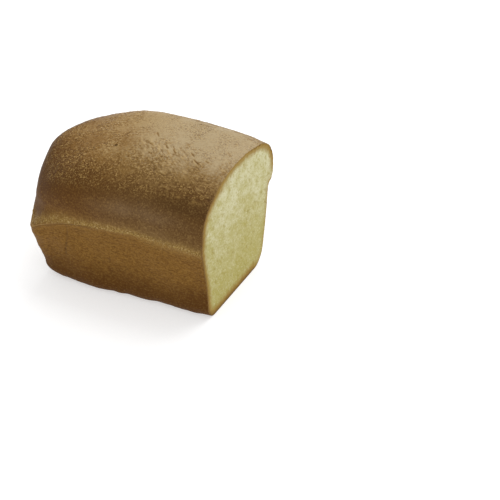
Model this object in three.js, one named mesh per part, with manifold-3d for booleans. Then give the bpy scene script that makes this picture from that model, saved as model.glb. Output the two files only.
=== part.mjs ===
// White tin loaf with its near end sliced away, one solid with a flat cut face.
// Millimetres: X runs along the loaf towards the cut, Y from the front to the back, Z up.
// The loaf is shaped whole, about the middle of its tin, cut, and then moved so that its
// origin lies under the middle of what is left of it, on the table.
import * as THREE from "three";
import { mergeVertices } from "three/addons/utils/BufferGeometryUtils.js";
import Module from "manifold-3d";

// Tin: reaches from the middle of the tin, and how square its corners are seen from above
// (the exponent of a superellipse: 2 is an ellipse, 17 nearly a rectangle).
const TIN_DEPTH = 70;
const TIN_FLOOR = { front: 47, back: 46.5, end: 89.6, squareness: 17 };
const TIN_RIM = { front: 57.4, back: 61.5, end: 96, squareness: 12 };
// How each wall leans out from floor to rim: 1 is straight, less bulges, more is pinched in.
const WALL_LEAN = { front: 1.7, back: 0.7, end: 0.58 };
const FLOOR_EDGE_RADIUS = 14;

// Pale torn seam where the dough rose past the rim.
const SEAM_PROUD = 0.7;
const SEAM_SPREAD = 2.2;

// Lip: the dough above the rim, which hangs over it most at the back.
const BELT_HEIGHT = 81.7;
const OVERHANG = { front: 0.2, back: 9.2, end: 4.4 };
const BELT_SQUARENESS = 4.5;

// Crown: a superelliptic dome on the belt. Its crest lies a little behind the middle.
const CROWN_TOP = 118;
const CREST_Y = 4.4;
const CROWN_ROUNDNESS = { front: 2.1, back: 2.9, end: 3.15 };
const TOP_SQUARENESS = 2.5;
const SQUARENESS_EASE = 1.35;

// Slump: the seam is highest at one point along the loaf and falls away from it, most of all
// at the far corners, which the dough left unfilled. The crest falls towards the far end too.
const SEAM_ARCH = { x: 9, spread: 58, fall: 7 };
const CORNER_DIP = { depth: 19, spread: 16 };
const SLUMP_PULL = 1.6;
const CREST_FALL = 7.6;

// Unevenness: a few swells and hollows, and gentle lumps all over the crust. They fade out
// over the lowest few millimetres, where the floor stays flat.
const SWELLS = [
  { at: new THREE.Vector3(-98, 6, 97), radius: 20, height: 5.3 },
  { at: new THREE.Vector3(-34, 40, 112), radius: 23, height: 2.8 },
  { at: new THREE.Vector3(50, 46, 106), radius: 26, height: -1.8 },
  { at: new THREE.Vector3(-41, -48, 4), radius: 18, height: 3.5 },
];
const LUMP_HEIGHT = 0.22;
const LUMP_COUNT = 9;
const LUMP_LENGTH = { shortest: 24, longest: 70 };
const LUMP_SEED = 20117;
const DRAW_FACTOR = 16807;
const DRAW_RANGE = 2 ** 31 - 1;
const FLAT_HEIGHT = 5;

// The knife leaves the loaf this far along from the middle of the tin.
const CUT_X = 59;

// Facets: points round each level, and levels up each stretch of the side.
const AROUND = 132;
const OUTLINE_STEPS = 360;
const LEVELS = { edge: 5, wall: 12, lip: 5, crown: 18 };

const QUARTER = Math.PI / 2;
const SIDES = ["front", "back", "end"];
const { lerp, clamp } = THREE.MathUtils;

// A level of the loaf is its height, its reach to each side and its squareness.
function levelOf(z, reachTo, squareness) {
  const level = { z, squareness };
  for (const side of SIDES) level[side] = reachTo(side);
  return level;
}

function seamRidge(z) {
  return SEAM_PROUD * Math.exp(-(((z - TIN_DEPTH) / SEAM_SPREAD) ** 2));
}

function wallLevel(z, inset = 0) {
  const up = z / TIN_DEPTH;
  const reach = (side) =>
    lerp(TIN_FLOOR[side], TIN_RIM[side], up ** WALL_LEAN[side]) - inset + seamRidge(z);
  return levelOf(z, reach, lerp(TIN_FLOOR.squareness, TIN_RIM.squareness, up));
}

// The floor turns up into the walls on a quarter round.
function edgeLevels() {
  return Array.from({ length: LEVELS.edge }, (_, i) => {
    const turn = (i / LEVELS.edge) * QUARTER;
    const z = FLOOR_EDGE_RADIUS * (1 - Math.cos(turn));
    return wallLevel(z, FLOOR_EDGE_RADIUS * (1 - Math.sin(turn)));
  });
}

function wallLevels() {
  return Array.from({ length: LEVELS.wall }, (_, i) =>
    wallLevel(lerp(FLOOR_EDGE_RADIUS, TIN_DEPTH, i / LEVELS.wall)),
  );
}

// The lip swings out over the rim and up to the belt on a quarter ellipse.
function lipLevels() {
  return Array.from({ length: LEVELS.lip }, (_, i) => {
    const turn = (i / LEVELS.lip) * QUARTER;
    const z = lerp(BELT_HEIGHT, TIN_DEPTH, Math.cos(turn));
    const reach = (side) => TIN_RIM[side] + OVERHANG[side] * Math.sin(turn) + seamRidge(z);
    return levelOf(z, reach, lerp(TIN_RIM.squareness, BELT_SQUARENESS, Math.sin(turn)));
  });
}

// Each side of the crown closes over the crest on its own superellipse.
function crownLevels() {
  return Array.from({ length: LEVELS.crown }, (_, i) => {
    const rise = Math.sin((i / LEVELS.crown) * QUARTER);
    const crest = { front: -CREST_Y, back: CREST_Y, end: 0 };
    const reach = (side) => {
      const roundness = CROWN_ROUNDNESS[side];
      const left = (1 - rise ** roundness) ** (1 / roundness);
      return crest[side] + (TIN_RIM[side] + OVERHANG[side] - crest[side]) * left;
    };
    const squareness = lerp(BELT_SQUARENESS, TOP_SQUARENESS, rise ** SQUARENESS_EASE);
    return levelOf(lerp(BELT_HEIGHT, CROWN_TOP, rise), reach, squareness);
  });
}

// How far the dough fell at a point of the rim: along the sides, and into the far corners.
function seamFall(point, level) {
  const arch = Math.exp(-(((point.x - SEAM_ARCH.x) / SEAM_ARCH.spread) ** 2));
  const cornerY = point.y < CREST_Y ? -level.front : level.back;
  const away = Math.hypot(point.x + level.end, point.y - cornerY);
  return SEAM_ARCH.fall * (1 - arch) + CORNER_DIP.depth * Math.exp(-away / CORNER_DIP.spread);
}

// Evenly spaced points round a level's superellipse.
function outline(level) {
  const points = [];
  for (let i = 0; i < OUTLINE_STEPS; i += 1) {
    const angle = (i / OUTLINE_STEPS) * 2 * Math.PI;
    const [c, s] = [Math.cos(angle), Math.sin(angle)];
    const q = level.squareness;
    const stretch = (Math.abs(c) ** q + Math.abs(s) ** q) ** (-1 / q);
    const across = s < 0 ? level.front + CREST_Y : level.back - CREST_Y;
    points.push(new THREE.Vector2(level.end * c * stretch, CREST_Y + across * s * stretch));
  }
  const shape = new THREE.Shape(points);
  shape.closePath();
  return shape.getSpacedPoints(AROUND).slice(0, AROUND);
}

// Share of the way from the rim to the crown's top.
function aboveRim(z) {
  return clamp((z - TIN_DEPTH) / (CROWN_TOP - TIN_DEPTH), 0, 1);
}

// Drops a point of a level where the dough slumped: round the seam and towards the far end.
function slump(point, level) {
  const nearRim = Math.min(level.z / TIN_DEPTH, 1) ** SLUMP_PULL * (1 - aboveRim(level.z));
  const z = level.z - nearRim * seamFall(point, level);
  const far = clamp(-point.x / (TIN_RIM.end + OVERHANG.end), 0, 1);
  return new THREE.Vector3(point.x, point.y, z - CREST_FALL * aboveRim(z) * far ** 2);
}

// Closed skin of rings, with a point under the floor's middle and one at the crown's top.
function loftSkin(levels) {
  const rings = levels.map((level) => outline(level).map((point) => slump(point, level)));
  const positions = [new THREE.Vector3(0, 0, 0), ...rings.flat()];
  positions.push(new THREE.Vector3(0, CREST_Y, CROWN_TOP));
  const top = positions.length - 1;
  const indices = [];
  for (let i = 0; i < AROUND; i += 1) {
    const next = (i + 1) % AROUND;
    indices.push(0, 1 + next, 1 + i);
    for (let ring = 0; ring < rings.length - 1; ring += 1) {
      const low = 1 + ring * AROUND;
      const high = low + AROUND;
      indices.push(low + i, low + next, high + next, low + i, high + next, high + i);
    }
    const last = top - AROUND;
    indices.push(last + i, last + next, top);
  }
  const geometry = new THREE.BufferGeometry().setFromPoints(positions);
  geometry.setIndex(indices);
  return geometry;
}

// Seeded waves in every direction, whose sum makes the crust's lumps.
function lumpWaves() {
  let seed = LUMP_SEED;
  const draw = () => {
    seed = (seed * DRAW_FACTOR) % DRAW_RANGE;
    return seed / DRAW_RANGE;
  };
  return Array.from({ length: LUMP_COUNT }, () => {
    const length = lerp(LUMP_LENGTH.shortest, LUMP_LENGTH.longest, draw());
    const up = lerp(-1, 1, draw());
    const turn = draw() * 2 * Math.PI;
    const flat = Math.sqrt(1 - up ** 2);
    const wave = new THREE.Vector3(flat * Math.cos(turn), flat * Math.sin(turn), up);
    wave.multiplyScalar((2 * Math.PI) / length);
    return { wave, phase: draw() * 2 * Math.PI };
  });
}

// Moves the skin out along its normals by the lumps and swells. The floor stays flat.
function roughen(geometry) {
  geometry.computeVertexNormals();
  const waves = lumpWaves();
  const { position, normal } = geometry.attributes;
  const point = new THREE.Vector3();
  const outward = new THREE.Vector3();
  for (let i = 0; i < position.count; i += 1) {
    point.fromBufferAttribute(position, i);
    outward.fromBufferAttribute(normal, i);
    const offFloor = THREE.MathUtils.smoothstep(point.z, 0, FLAT_HEIGHT);
    let rise = 0;
    for (const { wave, phase } of waves) rise += LUMP_HEIGHT * Math.sin(wave.dot(point) + phase);
    for (const { at, radius, height } of SWELLS) {
      rise += height * Math.exp(-((point.distanceTo(at) / radius) ** 2));
    }
    point.addScaledVector(outward, rise * offFloor);
    position.setXYZ(i, point.x, point.y, Math.max(point.z, 0));
  }
}

function toManifold(wasm, geometry) {
  const bare = geometry.clone();
  bare.deleteAttribute("normal");
  bare.deleteAttribute("uv");
  const merged = mergeVertices(bare);
  return new wasm.Manifold(
    new wasm.Mesh({
      numProp: 3,
      vertProperties: new Float32Array(merged.attributes.position.array),
      triVerts: new Uint32Array(merged.index.array),
    }),
  );
}

function toGeometry(manifold) {
  const mesh = manifold.getMesh();
  const geometry = new THREE.BufferGeometry();
  geometry.setAttribute("position", new THREE.BufferAttribute(mesh.vertProperties, 3));
  geometry.setIndex(new THREE.BufferAttribute(mesh.triVerts, 1));
  return geometry;
}

// Takes away everything on the knife's far side.
function cutLoaf(wasm, geometry) {
  const room = 4 * TIN_RIM.end;
  const sliced = new THREE.BoxGeometry(room, room, room);
  sliced.translate(CUT_X + room / 2, 0, 0);
  return toGeometry(toManifold(wasm, geometry).subtract(toManifold(wasm, sliced)));
}

function crustMaterial() {
  return new THREE.MeshStandardMaterial({ color: 0x8a6538, roughness: 0.6, metalness: 0 });
}

const wasm = await Module();
wasm.setup();

const skin = loftSkin([...edgeLevels(), ...wallLevels(), ...lipLevels(), ...crownLevels()]);
roughen(skin);

const loaf = new THREE.Mesh(cutLoaf(wasm, skin), crustMaterial());
loaf.name = "loaf";
loaf.geometry.computeVertexNormals();
loaf.geometry.computeBoundingBox();
const { min, max } = loaf.geometry.boundingBox;
loaf.position.set(-(min.x + max.x) / 2, -(min.y + max.y) / 2, -min.z);

const tinLoaf = new THREE.Group();
tinLoaf.add(loaf);

export default tinLoaf;
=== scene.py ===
"""A white tin loaf with its near end sliced away: browned crown, tin-baked sides and cut crumb."""

import math
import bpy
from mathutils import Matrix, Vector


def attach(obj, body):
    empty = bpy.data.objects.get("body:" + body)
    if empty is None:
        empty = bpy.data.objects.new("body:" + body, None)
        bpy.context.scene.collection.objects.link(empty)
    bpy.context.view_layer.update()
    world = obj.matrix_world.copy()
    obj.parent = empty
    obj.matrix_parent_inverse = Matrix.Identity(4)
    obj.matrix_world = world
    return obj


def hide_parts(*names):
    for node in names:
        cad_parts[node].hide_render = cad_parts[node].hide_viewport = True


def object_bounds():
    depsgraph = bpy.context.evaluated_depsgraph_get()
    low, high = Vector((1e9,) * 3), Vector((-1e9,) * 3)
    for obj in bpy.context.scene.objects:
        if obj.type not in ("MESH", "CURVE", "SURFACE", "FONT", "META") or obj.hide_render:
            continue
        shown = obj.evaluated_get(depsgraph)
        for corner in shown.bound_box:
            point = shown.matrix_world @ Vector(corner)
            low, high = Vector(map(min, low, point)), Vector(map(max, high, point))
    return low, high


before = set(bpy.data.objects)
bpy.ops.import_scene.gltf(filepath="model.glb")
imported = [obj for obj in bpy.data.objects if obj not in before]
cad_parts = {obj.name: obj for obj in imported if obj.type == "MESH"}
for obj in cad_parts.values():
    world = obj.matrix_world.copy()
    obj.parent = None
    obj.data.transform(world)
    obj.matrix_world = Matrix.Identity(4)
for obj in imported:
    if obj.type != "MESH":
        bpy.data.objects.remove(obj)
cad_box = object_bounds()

from types import SimpleNamespace

import bmesh
import bpy
import numpy as np
from bpy.props import FloatProperty, FloatVectorProperty, PointerProperty
from mathutils import Matrix, Vector, kdtree, noise

bl_info = {
    "name": "Tin Loaf",
    "version": (1, 0, 0),
    "blender": (4, 5, 0),
    "location": "3D View > Sidebar > Tin Loaf",
    "description": "Builds a partly sliced tin loaf with a baked crust and a cut face of crumb",
    "category": "Add Mesh",
}

MM = 0.001

# ---------------- the loaf's own shape
# Places are measured in the tin's frame: x from the tin's middle towards the knife cut, y from its
# centre line towards the back, z up. Three numbers are for the front, the back and the closed end.
# An outline is a superellipse, and its squareness is the power that makes it.

FLOOR_SQUARENESS = 17
RIM_SQUARENESS = 12
BELT_SQUARENESS = 4.5
TOP_SQUARENESS = 2.5
SQUARENESS_EASE = 1.35
WALL_LEAN = np.array((1.7, 0.7, 0.58))
CROWN_ROUNDNESS = np.array((2.1, 2.9, 3.15))
FLOOR_EDGE_RADIUS = 12 * MM
SEAM_PROUD = 0.7 * MM
SEAM_SPREAD = 2.2 * MM
CREST_Y = 4.4 * MM
ARCH_X = 9 * MM
ARCH_SPREAD = 58 * MM
ARCH_FALL = 7 * MM
CORNER_DIP = 19 * MM
CORNER_SPREAD = 16 * MM
SLUMP_PULL = 1.6
CREST_FALL = 7.6 * MM
SWELLS = (  # x, y, z, radius and height in millimetres
    (-98, 6, 97, 20, 5.3),
    (-34, 40, 112, 23, 2.8),
    (50, 46, 106, 26, -1.8),
    (-41, -48, 4, 18, 3.5),
)
LUMP_HEIGHT = 0.22 * MM
LUMP_COUNT = 9
LUMP_SHORTEST = 24 * MM
LUMP_LONGEST = 70 * MM
LUMP_SEED = 20117
DRAW_FACTOR = 16807
DRAW_RANGE = 2**31 - 1
FLAT_HEIGHT = 5 * MM

CUT_X = 59 * MM
CENTRE_FROM_FRONT = 58.751 * MM
TIN_MIDDLE = np.array((cad_box[1].x - CUT_X, cad_box[0].y + CENTRE_FROM_FRONT, 0))

# The way up the skin: 0 to 1 is the floor's rounded edge, 1 to 2 the wall of the tin,
# 2 to 3 the lip over its rim and 3 to 4 the crown.
AT_RIM = 2
AT_TOP = 4

COLUMNS = 820
FLOOR_ROWS = 8
TIN_ROWS = 118
CROWN_ROWS = 140
OUTLINE_STEPS = 1440
WAY_STEPS = 1200


def mix(a, b, t):
    return a + (b - a) * t


def smoothstep(x, low, high):
    t = np.clip((x - low) / (high - low), 0, 1)
    return t * t * (3 - 2 * t)


def hump(x, middle, width):
    """A soft hump of height 1 round the middle."""
    return np.exp(-(((x - middle) / width) ** 2))


def level(loaf, way):
    """Height, three reaches and squareness of the outline at a place on the way up the skin."""
    stage = min(int(way), AT_TOP - 1)
    part = way - stage
    rise = math.sin(part * math.pi / 2)
    run = math.cos(part * math.pi / 2)
    floor, rim = np.array(loaf.tin_floor), np.array(loaf.tin_rim)
    belt = rim + np.array(loaf.overhang)
    if stage < AT_RIM:
        z = FLOOR_EDGE_RADIUS * (1 - run) if stage == 0 else mix(FLOOR_EDGE_RADIUS, loaf.tin_depth, part)
        up = z / loaf.tin_depth
        inset = FLOOR_EDGE_RADIUS * (1 - rise) if stage == 0 else 0
        reach = mix(floor, rim, up**WALL_LEAN) - inset
        squareness = mix(FLOOR_SQUARENESS, RIM_SQUARENESS, up)
    elif stage == AT_RIM:
        z = mix(loaf.belt_height, loaf.tin_depth, run)
        reach = mix(rim, belt, rise)
        squareness = mix(RIM_SQUARENESS, BELT_SQUARENESS, rise)
    else:
        z = mix(loaf.belt_height, loaf.crown_top, rise)
        crest = np.array((-CREST_Y, CREST_Y, 0))
        reach = crest + (belt - crest) * (1 - rise**CROWN_ROUNDNESS) ** (1 / CROWN_ROUNDNESS)
        squareness = mix(BELT_SQUARENESS, TOP_SQUARENESS, rise**SQUARENESS_EASE)
    return z, reach + SEAM_PROUD * hump(z, loaf.tin_depth, SEAM_SPREAD), squareness


def even_ways(loaf, start, end, count):
    """Places between start and end that lie evenly spaced on the skin."""
    ease = np.linspace(0, 1, WAY_STEPS + 1)
    if end == AT_TOP:
        ease = 1 - (1 - ease) ** 3
    ways = start + (end - start) * ease
    levels = [level(loaf, way) for way in ways]
    heights = np.array([z for z, _, _ in levels])
    reaches = np.array([reach for _, reach, _ in levels])
    steps = np.hypot(np.diff(reaches, axis=0), np.diff(heights)[:, None]).max(axis=1)
    length = np.concatenate(([0], np.cumsum(steps)))
    return np.interp(np.linspace(0, length[-1], count + 1), length, ways)


def outline(loaf, z, reach, squareness):
    """One row of points round the loaf at a level, evenly spaced along it."""
    angles = np.linspace(0, 2 * math.pi, OUTLINE_STEPS + 1)
    c, s = np.cos(angles), np.sin(angles)
    stretch = (abs(c) ** squareness + abs(s) ** squareness) ** (-1 / squareness)
    across = np.where(s < 0, reach[0] + CREST_Y, reach[1] - CREST_Y)
    x, y = reach[2] * c * stretch, CREST_Y + across * s * stretch
    length = np.concatenate(([0], np.cumsum(np.hypot(np.diff(x), np.diff(y)))))
    places = np.linspace(0, length[-1], COLUMNS + 1)[:-1]
    x, y = np.interp(places, length, x), np.interp(places, length, y)
    return slump(loaf, np.stack((x, y, np.full(COLUMNS, z)), axis=1), reach)


def slump(loaf, row, reach):
    """Lets the seam sag away from the loaf's middle and at its corners, and the crest sink towards
    the closed end."""
    x, y, z = row.T
    above_rim = np.clip((z - loaf.tin_depth) / (loaf.crown_top - loaf.tin_depth), 0, 1)
    corner_y = np.where(y < CREST_Y, -reach[0], reach[1])
    corner = np.exp(-np.hypot(x + reach[2], y - corner_y) / CORNER_SPREAD)
    fall = ARCH_FALL * (1 - hump(x, ARCH_X, ARCH_SPREAD)) + CORNER_DIP * corner
    near_rim = np.minimum(z / loaf.tin_depth, 1) ** SLUMP_PULL * (1 - above_rim)
    towards_end = np.clip(-x / (loaf.tin_rim[2] + loaf.overhang[2]), 0, 1)
    row[:, 2] = z - near_rim * fall - CREST_FALL * above_rim * towards_end**2
    return row


def lump_waves():
    """Slow waves over the dough, as wave numbers and phases."""
    seed, waves = LUMP_SEED, []

    def draw():
        nonlocal seed
        seed = seed * DRAW_FACTOR % DRAW_RANGE
        return seed / DRAW_RANGE

    for _ in range(LUMP_COUNT):
        length = mix(LUMP_SHORTEST, LUMP_LONGEST, draw())
        up = mix(-1, 1, draw())
        turn = draw() * 2 * math.pi
        flat = math.sqrt(1 - up * up)
        wave = np.array((flat * math.cos(turn), flat * math.sin(turn), up))
        waves.append((wave * 2 * math.pi / length, draw() * 2 * math.pi))
    return waves


def outward(points):
    """Unit normals of a grid of points whose rows go round and up."""
    across = np.roll(points, -1, axis=1) - np.roll(points, 1, axis=1)
    normals = np.cross(across, np.gradient(points, axis=0))
    return normals / np.maximum(np.linalg.norm(normals, axis=2, keepdims=True), 1e-15)


def bulging(points, places):
    """Height of soft bulges in millimetres, each with its place, radius and height in millimetres."""
    height = np.zeros(points.shape[:-1])
    for *place, radius, bulge in places:
        height += bulge * hump(np.linalg.norm(points / MM - place, axis=-1), 0, radius)
    return height


def dough(loaf):
    """The loaf's skin without its fine relief: points, outward normals and the row at the rim."""
    tin = even_ways(loaf, 0, AT_RIM, TIN_ROWS)
    crown = even_ways(loaf, AT_RIM, AT_TOP, CROWN_ROWS)
    rows = [outline(loaf, *level(loaf, way)) for way in np.concatenate((tin, crown[1:-1]))]
    middle = rows[0].mean(axis=0)
    floor = [mix(middle, rows[0], part) for part in np.linspace(0, 1, FLOOR_ROWS + 1)[:-1]]
    top = np.tile((0, CREST_Y, loaf.crown_top), (COLUMNS, 1))
    points = np.array(floor + rows + [top])
    normals = outward(points)
    normals[0], normals[-1] = (0, 0, -1), (0, 0, 1)
    rough = MM * bulging(points, SWELLS)
    for wave, phase in lump_waves():
        rough += LUMP_HEIGHT * np.sin(points @ wave + phase)
    points = points + normals * (rough * smoothstep(points[..., 2], 0, FLAT_HEIGHT))[..., None]
    points[..., 2] = np.maximum(points[..., 2], 0)
    return points, normals, FLOOR_ROWS + TIN_ROWS


# ---------------- relief
# Places, lengths and heights are in millimetres here and angles in degrees, unless MM stands by.

RELIEF_SEED = 411
RELIEF_RISE = 3  # the relief grows from nothing over this height above the flat floor

# Small local bulges and hollows in the dough: x, y, z, radius and height.
BULGES = (
    (-36, 48, 113, 19, 1.6), (49, 54, 107, 16, 1.8), (-95, -16, 97, 12, 0.9),
    (-100, -1, 96, 8, 0.8), (-84, 23, 105, 12, 0.8), (-90, -52, 66, 9, -1.6),
    (-94, -49, 57, 7, -1.7), (-88, -52, 45, 9, 2.6), (-88, -47, 30, 9, 1.4),
    (-88, -45, 12, 8, -1.4), (-44, -46, 3, 22, 0.9), (14, -46, 3, 22, 0.8),
    (0, -46, 3, 9, 0.9), (15, -46, 3, 7, -0.6), (44, -46, 3, 12, 1.1),
)

# Noise in the relief: size of its blobs, seed, and how far it is drawn out along each axis.
GRAINS = {
    "patch": (11, 3.1),
    "small patch": (5.5, 9.9),
    "slow": (15, 8.4),
    "wave": (4.5, 1.2),
    "peel": (3.1, 1.7),
    "fine peel": (1.8, 5.2),
    "wrinkle on top": (1.9, 6.1, (3.2, 1, 1)),
    "wrinkle by the cut": (1.8, 2.6, (3.2, 1, 1)),
    "wrinkled patch": (8, 7.4),
    "foot": (6, 5.8, (1, 1, 3)),
    "sawn edge": (2.3, 8.8),
    "scratch": (0.9, 7.3, (11, 11, 1)),
    "wide scratch": (2.3, 4.8, (7, 7, 1)),
    "torn": (2.2, 6.6),
    "fine torn": (1.3, 2.9),
    "ragged": (3.0, 4.4),
    "thread": (1.4, 4.4, (1, 1, 3.5)),
    "painted_sheen": (17, 1.4),
    "soft crumb": (10, 2.2),
    "drawn crumb": (3.0, 7.7, (1, 1.8, 1)),
    "fine crumb": (1.3, 3.4, (1, 1.8, 1)),
    "rind": (3.5, 5.5),
    "drawn rind": (1.6, 6.3),
    "torn edge": (1.4, 9.3),
    "torn edge patch": (7, 5.1),
}


def grain(points, name):
    """Smooth noise of about -1 to 1, as the table of grains gives it."""
    size, seed, *drawn = GRAINS[name]
    stretch = np.array(drawn[0] if drawn else (1, 1, 1))
    scaled = points.reshape(-1, 3) / (size * MM * stretch) + seed
    return np.array([noise.noise(p) for p in scaled.tolist()]).reshape(points.shape[:-1])


def turned(points, axis, degrees):
    """The same points seen from axes that are turned about one of them."""
    return points @ np.array(Matrix.Rotation(math.radians(degrees), 3, axis))


def heading(degrees):
    """The direction at that angle, as its two parts in a plane."""
    return math.cos(math.radians(degrees)), math.sin(math.radians(degrees))


def spots(rng, points, weights, count):
    """Points drawn at random, more of them where the weight is greater and the mesh is wider."""
    weights = weights * (np.linalg.norm(points - np.roll(points, 1, axis=1), axis=2) / MM)
    chosen = rng.choice(weights.size, size=count, p=weights.ravel() / weights.sum())
    return points.reshape(-1, 3)[chosen]


def press(points, tree, marks):
    """Sum of soft marks, each with its middle, direction, half length, half width and height."""
    flat = points.reshape(-1, 3)
    heights = np.zeros(len(flat))
    for middle, direction, length, width, height in marks:
        near = [index for _, index, _ in tree.find_range(middle, length + 2 * width)]
        if not near:
            continue
        away = flat[near] - np.array(middle)
        along = away @ np.array(direction)
        across = np.sqrt(np.maximum((away**2).sum(axis=1) - along**2, 0))
        past_end = np.maximum(abs(along) - length, 0)
        heights[near] += height * hump(np.hypot(across, past_end), 0, width)
    return heights.reshape(points.shape[:-1])


def tree_of(points):
    flat = points.reshape(-1, 3).tolist()
    tree = kdtree.KDTree(len(flat))
    for index, point in enumerate(flat):
        tree.insert(point, index)
    tree.balance()
    return tree


# The crown is palest where it faces this way, up and a little back towards the key light, and darkest beyond
# the larger tilt: partly real browning, partly painted highlight on the top and painted shade on the
# shoulder.
PALEST_DIRECTION = np.array((0.05, 0.15, 0.987))
PALE_TILT = 8
DARK_TILT = 46
PATCHY_TILT = 6

# Slow patches on the crown: x, y, radius and how much browner each is.
PATCHES = (
    (-31, -5, 9, 0.34), (-57, -3, 8, 0.28), (-42, -18, 7, -0.22),
    (-84, 4, 12, -0.32), (-5, -9, 7, -0.14), (-20, 25, 10, -0.1),
    (36, -4, 9, -0.2), (46, 18, 9, -0.1), (-58, -38, 14, 0.12),
    (-82, 12, 9, -0.14), (-38, 9, 8, 0.2), (-18, -22, 6, -0.1),
    (-78, -38, 9, 0.08), (-48, -43, 8, 0.08), (-91, 2, 7, -0.12),
    (4, -15, 6, -0.08), (15, -15, 5, 0.08),
)

# The longest folds on the crown: x, y, half length, turn and depth.
FOLD_TURN = -42
FOLD_HALF_WIDTH = 0.72
FOLDS = (
    (-12.2, 10.7, 2.8, -52, 0.32), (-10.1, -3.5, 1.4, -35, 0.28), (-0.1, 0.6, 3.6, -38, 0.26),
    (5.0, -6.2, 2.6, -46, 0.34), (4.4, -14.5, 5.0, -42, 0.42), (-3.0, -22.2, 4.2, -48, 0.34),
    (-6.6, -13.2, 1.6, -20, 0.22), (9.5, -3.6, 2.8, -50, 0.26), (11.0, 3.0, 1.3, -50, 0.2),
    (24.2, -1.8, 3.2, -42, 0.32), (26.8, 1.5, 1.4, 0, 0.24), (31.4, -10.2, 3.6, -36, 0.42),
    (38.9, -7.2, 1.0, -10, 0.28),
)

# Folds and marks drawn at random: how many, their turn and its spread, and their least and
# greatest measures.
FOLD_DEPTHS = (0.08, 0.2)
TOP_FOLDS = {"count": 26, "turns": (FOLD_TURN, 12), "lengths": (0.8, 2.4), "half_widths": (0.5, 0.7)}
SIDE_FOLDS = {"count": 16, "turns": (0, 7), "lengths": (2, 5), "half_widths": (0.5, 0.8)}
LIP_WIDTH = 2.2  # a lip beside a fold, as a share of the fold's own width and depth
LIP_HEIGHT = 0.5
BLISTERS = 1500
BLISTER_RADII = (0.6, 1.05)
BLISTER_HEIGHTS = (0.5, 1.3)
TIN_PITS = 90
TIN_PIT_RADII = (0.5, 1.1)
TIN_PIT_DEPTHS = (0.06, 0.22)

# Single pits: x, y, z, direction, half length, radius and depth. The first is a pinhole.
NOWHERE, ALONG, UPRIGHT = (0, 0, 0), (1, 0, 0), (0, 0, 1)
PITS = (
    (-37.3, -11.9, 115.3, ALONG, 0.3, 0.75, 1.6),
    (3.1, -52.5, 97.1, ALONG, 0, 0.8, 0.5),
    (4.2, -54.8, 93.3, ALONG, 0, 0.8, 0.4),
    (-90.3, -44.9, 24.4, UPRIGHT, 1.5, 1.4, 0.7),
    (-62.3, -52.7, 41.1, UPRIGHT, 0.5, 0.6, 0.5),
    (-61.1, -52.2, 38.9, ALONG, 0.5, 0.6, 0.4),
    (-63.9, -51.3, 34.7, ALONG, 0.5, 0.6, 0.5),
    (-61.6, -51.3, 33.9, UPRIGHT, 0, 0.6, 0.3),
    (-64.2, -50.3, 30.3, UPRIGHT, 0.8, 0.5, 0.3),
)

# Where one look of the skin gives way to another: along the skin from the rim for the first two,
# and from the tin's middle towards the closed end for the others.
CROWN_STARTS = (2, 7)
TIN_ENDS = (-5, -2)
FAR_END = (0, 70)
WIDE_SEAM = (30, 66)


def measured(points, normals, rim_row):
    """Where each point of the skin lies, how it faces, and how far up the skin it is from the rim."""
    x, y, z = (points / MM).transpose(2, 0, 1)
    steps = np.linalg.norm(np.diff(points, axis=0), axis=2) / MM
    climb = np.concatenate((np.zeros((1, COLUMNS)), np.cumsum(steps, axis=0)))
    climb = climb - climb[rim_row]
    return SimpleNamespace(
        points=points,
        x=x,
        y=y,
        z=z,
        tilt=np.degrees(np.arccos(np.clip(normals @ PALEST_DIRECTION, -1, 1))),
        facing_up=normals[..., 2],
        climb=climb,
        front=y < 0,
        crown=smoothstep(climb, *CROWN_STARTS),
        tin_side=1 - smoothstep(climb, *TIN_ENDS),
        far=smoothstep(-x, *FAR_END),
        wide=smoothstep(-x, *WIDE_SEAM),
        patchy=grain(points, "patch") + 0.7 * grain(points, "small patch"),
    )


def graininess(skin):
    """How grainy the crown is: in patches, most where it turns dark and least beside the cut."""
    change = hump(skin.facing_up, 0.80, 0.14)
    grainy = np.clip(0.4 + 0.35 * change + 0.15 * skin.far + 0.6 * skin.patchy, 0, 1) * skin.crown
    beside_cut = smoothstep(skin.x, -10, 30) * skin.front
    grainy *= 1 - 0.6 * beside_cut * (1 - smoothstep(skin.facing_up, 0.74, 0.9))
    steepest = 0.58 - 0.06 * skin.far
    return grainy * smoothstep(skin.facing_up, steepest, steepest + 0.26)


def unevenness(skin, grainy, relief):
    """Height of the bulges and of the slow and fine unevenness of the skin."""
    height = 0.30 * grain(skin.points, "slow") * smoothstep(skin.climb, 0, 14)
    height += bulging(skin.points, BULGES) + 0.10 * grain(skin.points, "wave") * skin.crown
    peel = grain(skin.points, "peel") + 0.6 * grain(skin.points, "fine peel")
    return height + relief.peel / MM * grainy * peel


def scattered_folds(rng, points, weights, upright, count, turns, lengths, half_widths):
    """Folds drawn at random, which lie flat on top or upright on the side."""
    folds = []
    for place in spots(rng, points, weights, count):
        along, over = heading(rng.normal(*turns))
        run = (along, 0, over) if upright else (along, over, 0)
        half = rng.uniform(*lengths) * MM
        folds.append((place, run, half, rng.uniform(*half_widths) * MM, -rng.uniform(*FOLD_DEPTHS)))
    return folds


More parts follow.
